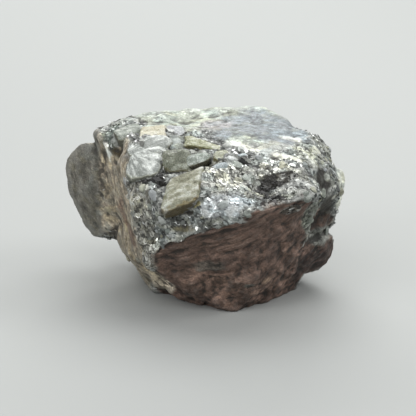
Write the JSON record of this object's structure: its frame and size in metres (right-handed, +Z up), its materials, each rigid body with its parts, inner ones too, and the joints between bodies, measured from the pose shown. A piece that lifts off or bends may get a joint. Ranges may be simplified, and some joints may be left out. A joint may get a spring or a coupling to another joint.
{
  "type": "rough emerald in mica schist",
  "caption": "Hand-sized broken block of dark mica schist with grey-green beryl crystals grown in it, resting on a flat broken foot.",
  "frame": {"origin": "centre of the stone's outline on the surface that it rests on", "axes": "+X to the stone's right along its longest side, +Y to its back, +Z up out of the surface that it rests on"},
  "size_m": [0.0616, 0.0469, 0.0389],
  "materials": {
    "mica_schist": "rough broken rock with glittering mica, darker and browner on the lower front, with smooth grey-green crystal faces"
  },
  "bodies": {
    "root": {"rough_emerald_stone": "mica_schist"}
  },
  "joints": []
}
